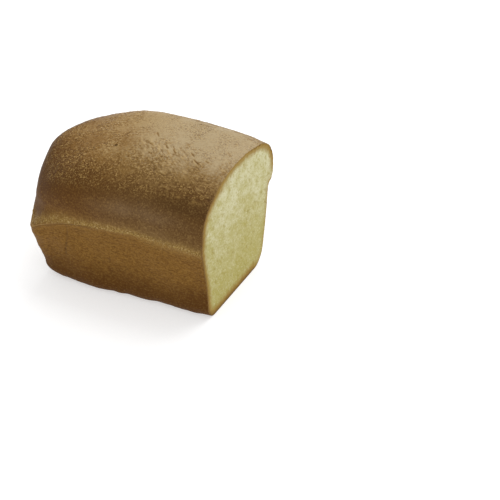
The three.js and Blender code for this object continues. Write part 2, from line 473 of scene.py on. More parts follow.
def crust_marks(skin, grainy, relief):
    """The blisters and small pits of the crust, and its folds and deeper pits."""
    rng = np.random.default_rng(RELIEF_SEED)
    marks = []
    for place in spots(rng, skin.points, grainy**2, BLISTERS):
        radius = rng.uniform(*BLISTER_RADII) * MM
        marks.append((place, NOWHERE, 0, radius, relief.blister / MM * rng.uniform(*BLISTER_HEIGHTS)))
    on_top = hump(skin.x, -3, 24) * hump(skin.y, -6, 15) * skin.crown * (skin.facing_up > 0.8)
    folds = scattered_folds(rng, skin.points, on_top, upright=False, **TOP_FOLDS)
    for x, y, half, turn, depth in FOLDS:
        index = np.argmin(np.hypot(skin.x - x, skin.y - y) + 99 * (skin.facing_up < 0.5))
        place = skin.points.reshape(-1, 3)[index]
        folds.append((place, (*heading(turn), 0), half * MM, FOLD_HALF_WIDTH * MM, -depth))
    by_cut = smoothstep(skin.x, 15, 35) * hump(skin.y, -38, 6) * skin.crown
    folds += scattered_folds(rng, skin.points, by_cut, upright=True, **SIDE_FOLDS)
    for place in spots(rng, skin.points, skin.tin_side * smoothstep(skin.z, 4, 12), TIN_PITS):
        radius = rng.uniform(*TIN_PIT_RADII) * MM
        marks.append((place, NOWHERE, 0, radius, -rng.uniform(*TIN_PIT_DEPTHS)))
    for x, y, z, run, half, radius, depth in PITS:
        folds.append(((x * MM, y * MM, z * MM), run, half * MM, radius * MM, -depth))
    return marks, folds


def wrinkles(skin):
    """The short ripples of the dried skin, and how much of them there is over the top and by the cut."""
    over_top = hump(skin.x, 4, 34) * hump(skin.y, -13, 22) * skin.crown
    over_top *= smoothstep(skin.facing_up, 0.72, 0.9)
    beside_cut = smoothstep(skin.x, -15, 30) * hump(skin.facing_up, 0.86, 0.11) * skin.front * skin.crown
    ripple = 1.2 * over_top * grain(turned(skin.points, "Z", FOLD_TURN), "wrinkle on top")
    ripple += beside_cut * grain(skin.points, "wrinkle by the cut")
    ripple *= np.clip(0.8 + 0.9 * grain(skin.points, "wrinkled patch"), 0.2, 1.4)
    return ripple, over_top, beside_cut


def tin_relief(skin, relief):
    """Height of the tin side's own relief, and the share of the upright fold that runs up it, which is also
    painted darker as shade.
    """
    leaning = -59 - 6 * smoothstep(-skin.z, -62, -25)
    crease = hump(skin.x, leaning, 0.7) * smoothstep(skin.z, 22, 34) * skin.front * skin.tin_side
    height = -0.35 * crease
    height += 0.5 * hump(skin.x, -19, 4) * hump(skin.z, 5, 5) * skin.front
    height += 0.3 * grain(skin.points, "foot") * hump(skin.z, 4, 5)
    height += 0.5 * grain(skin.points, "sawn edge") * smoothstep(skin.x, 52, 59) * smoothstep(skin.z, 6, 12)
    scratch = grain(skin.points, "scratch") + 0.7 * grain(skin.points, "wide scratch")
    height += relief.scratch / MM * scratch * skin.tin_side * smoothstep(skin.z, 1, 6)
    return height, crease


def seam_relief(skin, relief):
    """Height of the torn seam and the shares of its grains and of the dip under it, where shade is painted.
    It runs lower under the middle of the front, and is wider towards the closed end."""
    torn = grain(skin.points, "torn") + 0.8 * grain(skin.points, "fine torn")
    corner = hump(skin.x, -98, 14)
    centre = 2.2 + skin.front * (1.8 * smoothstep(-skin.x, 46, 66) - 3.0 * hump(skin.x, 18, 16))
    ragged = skin.climb - centre + 1.2 * grain(skin.points, "ragged") + 1.5 * grain(skin.points, "thread")
    above, below = 3.2 + 1.4 * skin.wide + 1.5 * corner, 2.5 + 0.5 * skin.wide
    band = hump(ragged, 0, np.where(ragged > 0, above, below))
    glow = hump(np.minimum(ragged, 0), 0, 6) * (0.15 + 0.45 * smoothstep(skin.x, -4, 14)) * (ragged < 0)
    groove = hump(skin.climb, -0.8, 0.6) * (1 - corner)
    groove *= 0.15 + 0.85 * smoothstep(-skin.x, 25, 50) * skin.front
    height = relief.granule / MM * band * torn - 0.35 * groove
    return height, np.clip(np.maximum(band * (0.85 - 0.15 * skin.wide + 0.5 * torn), glow), 0, 1), groove


def browning_and_shade_of(skin):
    """How brown the crown is, from 0 where it is palest, and the tin side towards its foot. On the crown this
    is partly real browning and partly painted highlight and shade, by how each place faces the key light, and
    the front shoulder is made darker towards the cut; the tin side darkens towards its foot and the cut,
    partly real browning and partly painted shade.
    """
    browning = np.clip((skin.tilt - PALE_TILT + PATCHY_TILT * skin.patchy) / (DARK_TILT - PALE_TILT), 0, 1)
    browning += 0.35 * smoothstep(-skin.x, 55, 90) * smoothstep(skin.facing_up, 0.2, 0.5)
    browning += (0.14 + 0.46 * smoothstep(skin.x, 0, 40)) * hump(skin.facing_up, 0.7, 0.18) * skin.front
    for x, y, radius, browner in PATCHES:
        browning += browner * hump(np.hypot(skin.x - x, skin.y - y), 0, radius) * (skin.facing_up > 0)
    browning -= (0.25 + 0.1 * skin.wide) * hump(skin.climb, 3, 9 + 3 * skin.wide)
    # Tin side: darker towards the foot and towards the cut, partly real browning and partly painted shade.
    low = 1 - smoothstep(skin.z + 2 * skin.patchy, -2, 50) + 0.2 * smoothstep(skin.x, 30, 59)
    return np.where(skin.climb > 0, browning, low)


def crust_relief(points, normals, rim_row, relief):
    """Heights of the crust's fine relief, and at each point the shares that its colours follow."""
    skin = measured(points, normals, rim_row)
    tree = tree_of(points)
    grainy = graininess(skin)
    marks, folds = crust_marks(skin, grainy, relief)
    ripple, over_top, beside_cut = wrinkles(skin)
    folded = press(points, tree, folds)
    beside_folds = [(*rest, LIP_WIDTH * width, -LIP_HEIGHT * depth) for *rest, width, depth in folds]
    lips = over_top * press(points, tree, beside_folds)
    tin_height, crease = tin_relief(skin, relief)
    seam_height, seam, groove = seam_relief(skin, relief)
    height = unevenness(skin, grainy, relief) + tin_height + seam_height
    height += press(points, tree, marks) + folded + lips + relief.ripple / MM * ripple
    # Painted sheen: a paler, greyer patch on the middle of the shoulder that stands in for a soft highlight.
    painted_sheen = hump(skin.facing_up, 0.32, 0.24) * hump(skin.x, -2, 34) * skin.crown
    shares = {
        "browning": browning_and_shade_of(skin),
        "seam": seam,
        "grain": grainy,
        "groove": groove,
        # Folds, pits and the tin side's upright fold are painted darker by this share: painted shade in them.
        "crease": np.clip(-folded / 0.33 + 0.7 * crease, 0, 4),
        "ripple": np.clip(over_top + beside_cut, 0, 1),
        # Heights of the ripples and lips, used to paint shade in the furrows and highlight on the ridges.
        "ridge": ripple + 1.5 * lips,
        "far_end": smoothstep(-skin.x, -15, 60),
        "painted_sheen": painted_sheen * np.clip(0.85 + 0.6 * grain(points, "painted_sheen"), 0, 1),
        "climb": skin.climb * MM,
    }
    return height * MM * smoothstep(skin.z, 0, RELIEF_RISE), shares


# ---------------- meshes

def new_piece(name, mesh, material):
    """Puts a mesh in the scene as a piece of the loaf, with smooth faces and one material."""
    piece = bpy.data.objects.new(name, mesh)
    bpy.context.scene.collection.objects.link(piece)
    mesh.polygons.foreach_set("use_smooth", np.ones(len(mesh.polygons), dtype=bool))
    mesh.materials.append(material)
    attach(piece, "root")
    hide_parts("loaf")
    return piece


def give_shares(mesh, shares):
    """Writes each named share onto the points of a mesh."""
    for name, values in shares.items():
        attribute = mesh.attributes.new(name, "FLOAT", "POINT")
        attribute.data.foreach_set("value", np.ravel(values).astype(np.float32))


def quads_of(rows, columns):
    """Numbers of a grid's points, of the next point round for each, and of its quads' corners."""
    here = np.arange(rows * columns).reshape(rows, columns)
    right = np.roll(here, -1, axis=1)
    return here, right, np.stack((here[:-1], right[:-1], right[1:], here[1:]), axis=-1).reshape(-1, 4)


def skin_mesh(points, shares):
    """One closed mesh over a grid of points whose first and last rows are single points."""
    body = points[1:-1].reshape(-1, 3)
    rows = len(points) - 2
    vertices = np.concatenate((body, points[0, :1], points[-1, :1]))
    shares = {name: np.concatenate((v[1:-1].ravel(), v[0, :1], v[-1, :1])) for name, v in shares.items()}
    here, right, quads = quads_of(rows, COLUMNS)
    under = np.stack((np.full(COLUMNS, rows * COLUMNS), right[0], here[0]), axis=-1)
    over = np.stack((np.full(COLUMNS, rows * COLUMNS + 1), here[-1], right[-1]), axis=-1)
    mesh = bpy.data.meshes.new("skin")
    mesh.from_pydata(vertices.tolist(), [], quads.tolist() + under.tolist() + over.tolist())
    give_shares(mesh, shares)
    return mesh


CUT_MARGIN = 3 * MM  # faces farther beyond the knife's plane go before the cut
CUT_TOLERANCE = 1e-7


def slice_away(mesh, cut_x):
    """Cuts away what lies beyond the knife's plane and leaves that side open."""
    bm = bmesh.new()
    bm.from_mesh(mesh)
    beyond = [v for v in bm.verts if v.co.x > cut_x + CUT_MARGIN]
    bmesh.ops.delete(bm, geom=beyond, context="VERTS")
    geometry = bm.verts[:] + bm.edges[:] + bm.faces[:]
    knife = {"plane_co": (cut_x, 0, 0), "plane_no": (1, 0, 0), "dist": CUT_TOLERANCE}
    bmesh.ops.bisect_plane(bm, geom=geometry, clear_outer=True, **knife)
    bm.to_mesh(mesh)
    bm.free()


def part_of_skin(skin, name, above):
    """The faces of the skin above or below the tin's rim, with the whole skin's normals."""
    mesh = skin.copy()
    mesh.name = name
    bm = bmesh.new()
    bm.from_mesh(mesh)
    climb = bm.verts.layers.float["climb"]
    unwanted = [f for f in bm.faces if (sum(v[climb] for v in f.verts) > 0) != above]
    bmesh.ops.delete(bm, geom=unwanted, context="FACES")
    bm.to_mesh(mesh)
    bm.free()
    normals = np.empty(len(mesh.vertices) * 3, dtype=np.float32)
    mesh.attributes["skin_normal"].data.foreach_get("vector", normals)
    mesh.polygons.foreach_set("use_smooth", np.ones(len(mesh.polygons), dtype=bool))
    mesh.normals_split_custom_set_from_vertices(normals.reshape(-1, 3).tolist())
    mesh.attributes.remove(mesh.attributes["skin_normal"])
    mesh.attributes.remove(mesh.attributes["climb"])
    return mesh


CUT_MIDDLE = (0, 55 * MM)
CUT_RINGS = 110
CUT_STEP = 0.9 * MM
ON_PLANE = 1e-6

# The crumb is drawn out a little this way, from the top of the front to the foot of the back.
KNIFE_TURN = -36
KNIFE_TURN_SPREAD = 25
PORES = 520
PORE_LEAST_RADIUS = 0.35
PORE_EXTRA_RADIUS = 0.8  # few pores have much of it
PORE_LENGTHS = (0.3, 1.4)  # half length, as a share of the radius
PORE_DEPTHS = (0.4, 1)
CRUMB_BEHIND = 0.28  # how far the crumb sinks behind the knife's plane on average
CRUMB_STARTS = (1.2, 3.5)  # the crust's edge gives way to crumb over this distance from it


def cut_edge(cut_x):
    """The points where the crust meets the knife's plane, in order round it."""
    edge = set()
    for name in ("crown_crust", "tin_crust"):
        if name not in bpy.data.objects:
            raise RuntimeError("Bake the crust before the cut face")
        for vertex in bpy.data.objects[name].data.vertices:
            if abs(vertex.co.x - cut_x) < ON_PLANE:
                edge.add(tuple(vertex.co))
    centre = TIN_MIDDLE[1] + CUT_MIDDLE[0]
    points = np.array(sorted(edge, key=lambda p: math.atan2(p[2] - CUT_MIDDLE[1], p[1] - centre)))
    filled = []
    for here, there in zip(points, np.roll(points, -1, axis=0)):
        count = math.ceil(np.linalg.norm(there - here) / CUT_STEP)
        filled += [mix(here, there, step / count) for step in range(count)]
    return np.array(filled)


def pore_marks(points, inside, crumb):
    """The pores of the crumb, drawn at random, most of them along the knife's stroke."""
    rng = np.random.default_rng(RELIEF_SEED + 1)
    marks = []
    for place in spots(rng, points, inside, PORES):
        size = PORE_LEAST_RADIUS + PORE_EXTRA_RADIUS * rng.random() ** 4
        run = (0, *heading(rng.normal(KNIFE_TURN, KNIFE_TURN_SPREAD)))
        half = rng.uniform(*PORE_LENGTHS) * size * MM
        depth = crumb.pore / MM * size * rng.uniform(*PORE_DEPTHS)
        marks.append((place, run, half, size * MM, depth))
    return marks


def rind_of(points, stroke, away, y, z):
    """How much crust shows round the crumb: a brown band over the top, which fades slowly into the
    crumb at the front and is thin, pale and torn at the back."""
    uneven = away * (1 + 0.25 * grain(points, "rind")) + 0.6 * grain(stroke, "drawn rind")
    top = np.maximum(smoothstep(z, 104, 113), smoothstep(y, 15, 35) * smoothstep(z, 74, 84))
    back = smoothstep(y, 28, 46) * (1 - smoothstep(z, 72, 88))
    width = mix(mix(9, 11.5, smoothstep(z, 50, 75)), 6, smoothstep(z, 104, 113))
    front_rind = np.clip(1 - uneven / width, 0, 1) ** 1.3
    top_rind = 0.46 * np.clip((7.2 - uneven) / 3.8, 0, 1) + 0.18 * np.clip(1 - uneven / 1.8, 0, 1)
    back_rind = 0.12 * np.clip((5.5 - uneven) / 3, 0, 1) + 0.2 * np.clip(1 - uneven / 1.3, 0, 1)
    torn = 0.35 + 1.5 * grain(points, "torn edge") + 0.6 * grain(points, "torn edge patch")
    torn = np.clip(torn, 0, 1) * np.clip(2.2 - away, 0, 1) * smoothstep(y, 20, 40)
    return mix(mix(front_rind, top_rind, top), back_rind, back) + 0.36 * torn


def crumb_relief(points, away, crumb):
    """How far the crumb lies behind the knife's plane, and the shares of rind, of the painted shade in the
    pores, and of the yellower middle with painted shade at the front.
    """
    y = (points[..., 1] - TIN_MIDDLE[1]) / MM
    z = points[..., 2] / MM
    inside = smoothstep(away, *CRUMB_STARTS)
    pores = press(points, tree_of(points), pore_marks(points, inside, crumb))
    stroke = turned(points, "X", KNIFE_TURN)
    soft = 0.16 * grain(points, "soft crumb") + 0.09 * grain(stroke, "drawn crumb")
    fine = 0.05 * grain(stroke, "fine crumb")
    behind = np.maximum((CRUMB_BEHIND + soft + fine) * inside + pores, 0) * smoothstep(away, 0, 0.9)
    shares = {
        "rind": rind_of(points, stroke, away, y, z),
        # Pores are painted darker by their depth: painted shade in them.
        "hollow": np.clip(pores / 0.5, 0, 1),
        # Yellower crumb in the middle, and painted shade on the front part of the cut face.
        "heart": hump(y, 14, 22) * hump(z, 58, 30) + smoothstep(-y, 0, 36) * hump(z, 75, 35),
    }
    return behind * MM, shares


# ---------------- materials

def linear(code, alpha=1.0):
    """An sRGB hex colour as linear red, green, blue and alpha."""
    parts = [int(code[i : i + 2], 16) / 255 for i in (1, 3, 5)]
    return (*[p / 12.92 if p <= 0.04045 else ((p + 0.055) / 1.055) ** 2.4 for p in parts], alpha)


def add(tree, kind, inputs=(), out=0, **settings):
    """Adds a shader node, makes its settings, fills or links its inputs and returns one output.
    Inputs go by name or number, or else in the order of the node's sockets."""
    node = tree.nodes.new("ShaderNode" + kind)
    for name, value in settings.items():
        setattr(node, name, value)
    for name, value in inputs.items() if isinstance(inputs, dict) else enumerate(inputs):
        if isinstance(value, bpy.types.NodeSocket):
            tree.links.new(value, node.inputs[name])
        else:
            node.inputs[name].default_value = value
    return node.outputs[out]


COLOUR_A, COLOUR_B, COLOUR_OUT = 6, 7, 2
SOFT = {"interpolation_type": "SMOOTHSTEP"}
TIMES = {"operation": "MULTIPLY"}
PLUS = {"operation": "ADD"}
MOST = {"operation": "MAXIMUM"}
TIMES_PLUS = {"operation": "MULTIPLY_ADD"}


def start_material(name, shares, patterns):
    """An empty material, its tree, and by name the mesh's shares and some noise. Each pattern has
    the size of its blobs in millimetres, detail, roughness, and how it is drawn out and turned."""
    material = bpy.data.materials.new(name)
    material.use_nodes = True
    tree = material.node_tree
    tree.nodes.clear()
    place = add(tree, "TexCoord", out="Object")
    values = {share: add(tree, "Attribute", out="Fac", attribute_name=share) for share in shares}
    for pattern, (size, detail, roughness, *drawn) in patterns.items():
        inputs = {"Vector": place, "Scale": 1 / (size * MM), "Detail": detail, "Roughness": roughness}
        if drawn:
            stretch, turn = drawn
            mapping = {"Vector": place, "Rotation": tuple(map(math.radians, turn)), "Scale": stretch}
            inputs["Vector"] = add(tree, "Mapping", mapping, vector_type="TEXTURE")
        values[pattern] = add(tree, "TexNoise", inputs)
    return material, tree, SimpleNamespace(place=place, **values)


def shares_of(tree, **rows):
    """More shares by name. Each row has a value, where the share starts and where it is full, its
    strength, and if need be what it is multiplied by."""
    shares = {}
    for name, (value, start, full, strength, *where) in rows.items():
        shares[name] = add(tree, "MapRange", (value, start, full, 0, strength), **SOFT)
        if where:
            shares[name] = add(tree, "Math", (shares[name], *where), **TIMES)
    return SimpleNamespace(**shares)


def painted(tree, colour, *layers, blend_type="MIX"):
    """The first colour with layers over it. Each layer has its share of 0 to 1 and its colour."""
    for share, above in layers:
        inputs = {0: share, COLOUR_A: colour, COLOUR_B: above}
        colour = add(tree, "Mix", inputs, COLOUR_OUT, data_type="RGBA", blend_type=blend_type)
    return colour


def finish_surface(tree, colour, roughness, height, depth, ior, gloss, **glow):
    """Ends a material with a shader whose surface stands up to that depth."""
    bump = add(tree, "Bump", {"Height": height, "Distance": depth, "Strength": 1.0})
    inputs = {"Base Color": colour, "Roughness": roughness, "Normal": bump, "IOR": ior, **glow}
    inputs["Specular IOR Level"] = gloss
    output = tree.nodes.new("ShaderNodeOutputMaterial")
    tree.links.new(add(tree, "BsdfPrincipled", inputs), output.inputs["Surface"])


def seam_over(tree, colour, speck, seam, colours):
    """Lays the torn seam over a crust's colour, as pale grains with darker gaps between them."""
    share = shares_of(tree, grains=(speck, 0.52, 0.66, 0.7, seam), gaps=(speck, 0.50, 0.36, 0.9, seam))
    grains, gaps = (share.grains, colours.fleck), (share.gaps, colours.shoulder)
    return painted(tree, colour, (seam, colours.seam), grains, gaps)


def crown_crust_material(colours):
    """Bread crust baked in open oven heat. The skin dries, browns and blisters: tan on the top
    that stood highest, dark and smooth on the shoulder, mottled between, with a soft satin sheen. The pale
    top and dark shoulder are partly painted highlight and shade, a painted sheen lies on the shoulder,
    furrows, folds, pits and hollows carry painted shade, and ridges and blister tops painted highlight."""
    names = ("browning", "grain", "crease", "painted_sheen", "far_end", "ripple", "ridge", "seam")
    # Blisters are about 1 mm across, close to what the eye can part at this distance. Wrinkles are
    # short furrows between small ridges, where the drying skin shrank.
    patterns = {
        "mottle": (2.0, 3.0, 0.7),
        "speck": (1.0, 1.5, 0.5),
        "tooth": (1.3, 2.0, 0.7),
        "blister": (1.4, 1.0, 0.5),
        "wrinkle": (1.1, 2.0, 0.6, (2.6, 1, 1), (0, 0, FOLD_TURN)),
        "fine": (0.9, 2.0, 0.5),
    }
    material, tree, at = start_material("crown_crust_oven_baked", names, patterns)
    swing = add(tree, "Math", (at.mottle, 2.0, -1.0), **TIMES_PLUS)
    patchy = add(tree, "Math", (at.grain, 0.35), **PLUS)
    # Folds and pits add to the darkening: painted shade in them.
    brown = add(tree, "Math", (at.crease, 0.5, at.browning), **TIMES_PLUS)
    brown = add(tree, "Math", (swing, patchy, brown), **TIMES_PLUS)
    dark = add(tree, "Clamp", (brown,))
    share = shares_of(
        tree,
        darkest=(brown, 0.95, 1.75, 1.0),
        # Pale tooth tops, flecks and blister tops: partly paler crust, partly painted highlight.
        tooth=(at.tooth, 0.50, 0.72, 0.3),
        # Dark specks in small hollows: painted shade.
        hollow=(at.tooth, 0.50, 0.30, 0.55, dark),
        deep_fleck=(brown, 0.9, 1.5, 0.5),
        fleck=(at.speck, 0.56, 0.66, 0.9, at.grain),
        blister=(at.blister, 0.60, 0.66, 1.0, at.grain),
        gap=(at.speck, 0.47, 0.37, 1.0, at.grain),
        # Painted shade in the wrinkles' furrows and painted highlight on their ridges, following the bump and
        # ripple heights.
        furrow=(at.wrinkle, 0.47, 0.34, 0.5, at.ripple),
        deep_furrow=(at.ridge, -0.08, -0.5, 0.65),
        ridge=(at.wrinkle, 0.55, 0.68, 0.35, at.ripple),
        high_ridge=(at.ridge, 0.1, 0.55, 0.75),
        # The darkest painted shade, at the bottom of pinholes and the deepest folds.
        burnt=(at.crease, 1.3, 3.2, 1.0),
    )
    pale = painted(tree, colours.fleck, (dark, colours.fleck_low))
    # The tan top, brown middle and dark shoulder follow the browning share: the top partly painted highlight,
    # the shoulder partly painted shade.
    colour = painted(
        tree,
        colours.crown_top,
        (add(tree, "Math", (brown, 2.0), **TIMES), colours.crown_middle),
        (add(tree, "Math", (brown, 2.0, -1.0), **TIMES_PLUS), colours.shoulder),
        (share.darkest, colours.shoulder_low),
        # Painted highlight: the paler sheen on the shoulder.
        (add(tree, "Math", (at.painted_sheen, 0.9), **TIMES), colours.painted_sheen),
        (share.tooth, pale),
        (share.hollow, colours.shoulder_low),
    )
    colour = painted(tree, colour, (at.far_end, colours.end_tint), blend_type="MULTIPLY")
    colour = painted(
        tree,
        colour,
        (add(tree, "Math", (share.fleck, share.blister), **MOST),
         painted(tree, pale, (share.deep_fleck, colours.crown_middle))),
        (share.gap, colours.shoulder),
        # Painted shade in the furrows, then painted highlight on the ridges.
        (add(tree, "Math", (share.furrow, share.deep_furrow), **PLUS),
         painted(tree, colours.crown_middle, (dark, colours.shoulder_low))),
        (add(tree, "Math", (share.ridge, share.high_ridge), **PLUS),
         painted(tree, colours.fleck, (dark, colours.crown_middle))),
    )
    colour = seam_over(tree, colour, at.speck, at.seam, colours)
    colour = painted(tree, colour, (share.burnt, colours.burnt))
    wrinkled = add(tree, "Math", (at.wrinkle, add(tree, "Math", (at.ripple, 0.8), **TIMES)), **TIMES)
    rough = add(tree, "Math", (at.grain, 0.8, 0.25), **TIMES_PLUS)
    height = add(tree, "Math", (at.fine, rough, wrinkled), **TIMES_PLUS)
    worn = add(tree, "Math", (brown, at.seam), **PLUS)
    roughness = add(tree, "MapRange", (worn, 0.0, 1.4, 0.46, 0.56), **SOFT)
    finish_surface(tree, colour, roughness, height, 0.26 * MM, ior=1.45, gloss=0.12)
    return material


def tin_crust_material(colours):
    """Bread crust baked against greased steel. It is even and golden where the wall was hot and
    dry, darker towards the floor's edge and the cut, partly real browning and partly painted shade, and drawn
    with fine level scratches from turning out. Painted shade also darkens the dip under the seam and the
    upright fold."""
    # Scratches are 0.2 mm wide on the loaf and drawn at 0.9 mm so that they show.
    patterns = {
        "cloud": (7.0, 3.0, 0.6),
        "scratch": (0.9, 2.0, 0.6, (8, 8, 1), (0, 0, 0)),
        "fine": (1.1, 2.0, 0.6, (1.5, 1.5, 1), (0, 0, 0)),
        "speck": (1.0, 1.5, 0.5),
    }
    names = ("browning", "groove", "crease", "seam")
    material, tree, at = start_material("tin_crust_pan_baked", names, patterns)
    cloud = add(tree, "Math", (at.cloud, 0.45, -0.225), **TIMES_PLUS)
    brown = add(tree, "Math", (at.browning, cloud), **PLUS)
    share = shares_of(
        tree,
        # The tin side darker towards its foot and the cut: partly real browning, partly painted shade.
        low=(brown, 0.0, 1.0, 1.0),
        scratch=(at.scratch, 0.52, 0.32, 0.5),
        fleck=(at.fine, 0.54, 0.34, 0.6),
        pale_fleck=(at.fine, 0.50, 0.70, 0.25),
    )
    darker = [(each, colours.tin_low) for each in (share.low, share.scratch, share.fleck)]
    colour = painted(tree, colours.tin_side, *darker, (share.pale_fleck, colours.seam))
    colour = seam_over(tree, colour, at.speck, at.seam, colours)
    # Painted shade in the dip under the seam and in the upright fold.
    sunk_shade = add(tree, "Math", (at.groove, at.crease), **MOST)
    colour = painted(tree, colour, (add(tree, "Math", (sunk_shade, 0.7), **TIMES), colours.shoulder))
    scratched = add(tree, "Math", (at.scratch, 0.6), **TIMES)
    height = add(tree, "Math", (at.fine, 0.8, scratched), **TIMES_PLUS)
    roughness = add(tree, "MapRange", (brown, 0.0, 1.0, 0.5, 0.58), **SOFT)
    finish_surface(tree, colour, roughness, height, 0.2 * MM, ior=1.45, gloss=0.07)
    return material


def crumb_material(colours):
    """White bread crumb cut with a knife. It is matt, pale and slightly yellow, drawn out a little
    along the knife's stroke, with small pores, and golden brown where it meets the crust. It is darker and
    yellower lower down and at the front, partly painted shade, and the pores carry painted shade."""
    knife = (1, 1.6, 1), (KNIFE_TURN, 0, 0)
    patterns = {
        "slow": (10.0, 2.0, 0.5, *knife),
        "cloud": (4.4, 3.0, 0.6, *knife),
        "grit": (1.2, 2.0, 0.6, *knife),
        "fine": (0.9, 3.0, 0.6, *knife),
    }
    names = ("rind", "hollow", "heart")
    material, tree, at = start_material("crumb_knife_cut", names, patterns)
    height_up = add(tree, "SeparateXYZ", (at.place,), out="Z")
    share = shares_of(
        tree,
        # Lower crumb darker and yellower: partly real, partly painted shade.
        low=(height_up, 95 * MM, 10 * MM, 1.0),
        yellow=(at.slow, 0.45, 0.66, 0.35),
        yellow_cloud=(at.cloud, 0.48, 0.68, 0.3),
        pale=(at.slow, 0.52, 0.36, 0.35),
        pale_cloud=(at.cloud, 0.50, 0.34, 0.25),
        dark_grit=(at.grit, 0.50, 0.70, 0.55),
        pale_grit=(at.grit, 0.48, 0.30, 0.4),
    )
    yellow = add(tree, "Math", (share.yellow, share.yellow_cloud), **PLUS)
    # Adds the yellower middle and the painted shade at the front.
    yellow = add(tree, "Math", (at.heart, 0.42, yellow), **TIMES_PLUS)
    pale = add(tree, "Math", (share.pale, share.pale_cloud), **PLUS)
    # Paler patches fade lower down: part of the painted shade on the lower crumb.
    higher = add(tree, "MapRange", (height_up, 20 * MM, 100 * MM, 0.3, 1.0), **SOFT)
    colour = painted(
        tree,
        colours.crumb,
        (share.low, colours.crumb_low),
        (yellow, colours.crumb_low),
        (add(tree, "Math", (pale, higher), **TIMES), colours.crumb_pale),
        (share.dark_grit, colours.pore),
        (share.pale_grit, colours.crumb_pale),
        # Painted shade inside the pores.
        (add(tree, "Math", (at.hollow, 0.65), **TIMES), colours.pore),
        (add(tree, "MapRange", (at.rind, 0.0, 0.5)), colours.rind_inner),
        (add(tree, "MapRange", (at.rind, 0.5, 1.0)), colours.rind),
    )
    finish_surface(tree, colour, 0.8, at.fine, 0.3 * MM, ior=1.4, gloss=0.2)
    return material


def floor_material(colour):
    """Opal acrylic table top, cast and sanded matt, lit faintly from below. It is plain and
    bright and takes only a thin shadow."""
    patterns = {"tooth": (1.5, 2.0, 0.5), "cloud": (400, 2.0, 0.5)}
    material, tree, at = start_material("floor_opal_acrylic", (), patterns)
    share = shares_of(tree, shade=(at.cloud, 0.3, 0.7, 0.02))
    tone = painted(tree, colour, (share.shade, (0.4, 0.4, 0.4, 1)))
    glow = {"Emission Color": (1, 1, 1, 1), "Emission Strength": 0.52}
    finish_surface(tree, tone, 0.9, at.tooth, 0.02 * MM, ior=1.49, gloss=0.1, **glow)
    return material


# ---------------- what a user can change

def length_of(name, description, millimetres):
    settings = {"default": millimetres * MM, "min": 0, "unit": "LENGTH", "precision": 5}
    return FloatProperty(name=name, description=description, **settings)


def reaches_of(name, description, millimetres):
    settings = {"default": tuple(m * MM for m in millimetres), "size": 3, "unit": "LENGTH", "precision": 5}
    return FloatVectorProperty(name=name, description=description, **settings)


def colour_of(name, description, code):
    settings = {"default": linear(code), "size": 4, "min": 0, "max": 1, "subtype": "COLOR"}
    return FloatVectorProperty(name=name, description=description, **settings)


def angle_of(name, description, degrees):
    return FloatProperty(name=name, description=description, default=math.radians(degrees), subtype="ANGLE")


def light_of(name, description, watts):
    return FloatProperty(name=name, description=description, default=watts, min=0, unit="POWER")


class LoafSizes(bpy.types.PropertyGroup):
    tin_depth: length_of("Tin Depth", "Height of the tin's rim, where the seam runs", 70)
    tin_floor: reaches_of("Tin Floor", "Reach of its floor to the front, back and end", (47, 46.5, 89.6))
    tin_rim: reaches_of("Tin Rim", "Reach of its rim to the front, back and end", (57.4, 61.5, 96))
    overhang: reaches_of("Overhang", "How far the risen dough hangs over the rim", (0.2, 9.2, 4.4))
    belt_height: length_of("Belt Height", "Height at which the risen dough is widest", 81.7)
    crown_top: length_of("Crown Top", "Height of the crown at its crest", 118)


class CrustRelief(bpy.types.PropertyGroup):
    peel: length_of("Peel", "Height of the fine unevenness of the crown", 0.2)
    ripple: length_of("Ripple", "Depth of the short ripples on the crown", 0.3)
    blister: length_of("Blister", "Height of the small blisters on the crown", 0.16)
    granule: length_of("Granule", "Height of the torn grains along the seam", 0.5)
    scratch: length_of("Scratch", "Depth of the level scratches on the tin side", 0.12)


class CrumbRelief(bpy.types.PropertyGroup):
    pore: length_of("Pore", "Depth of a pore in the crumb, for each millimetre of its radius", 0.5)


class LoafColours(bpy.types.PropertyGroup):
    # Crown Top is partly painted highlight; Shoulder and Low Shoulder are partly painted shade, over the
    # crust's real browning.
    crown_top: colour_of("Crown Top", "Tan crust on top of the crown", "#ac9874")
    crown_middle: colour_of("Crown Middle", "Brown crust halfway down the crown", "#856737")
    shoulder: colour_of("Shoulder", "Dark crust on the shoulder", "#60421d")
    shoulder_low: colour_of("Low Shoulder", "Small dark hollows in the crown's crust", "#4e3313")
    # A painted highlight: the paler, greyer sheen on the shoulder.
    painted_sheen: colour_of("Painted Sheen", "Faint paler bloom on the shoulder", "#7c6244")
    end_tint: colour_of("End Tint", "Tint that turns the crown more golden towards the closed end", "#f6e6c4")
    # Fleck and Low Fleck: paler blister tops, partly painted highlight.
    fleck: colour_of("Fleck", "Blister tops on the pale crust", "#ba9f70")
    fleck_low: colour_of("Low Fleck", "Blister tops on the dark crust", "#ae8d52")
    # Painted shade at the bottom of the pinholes.
    burnt: colour_of("Pit Shade", "Bottom of the pinholes", "#3a2710")
    seam: colour_of("Seam", "Torn crust along the tin's rim", "#9a7b3f")
    tin_side: colour_of("Tin Side", "Golden crust baked against the tin", "#815c26")
    # Tin Low: darker crust at the foot, partly painted shade there; it also darkens the scratches and flecks.
    tin_low: colour_of("Tin Low", "Darker crust at the floor's edge", "#55340f")
    crumb: colour_of("Crumb", "Pale crumb in the upper half", "#cac59a")
    crumb_pale: colour_of("Crumb Pale", "Whitest patches of the crumb", "#d6d2b0")
    # Crumb Low: yellower crumb lower down, partly painted shade.
    crumb_low: colour_of("Crumb Low", "Yellower crumb lower down", "#ada35f")
    # Pore colour also serves as painted shade inside the pores.
    pore: colour_of("Pore", "Inside of the pores", "#a0914e")
    rind_inner: colour_of("Inner Rind", "Golden band inside the crust", "#997b39")
    rind: colour_of("Rind", "Cut edge of the crust", "#664619")


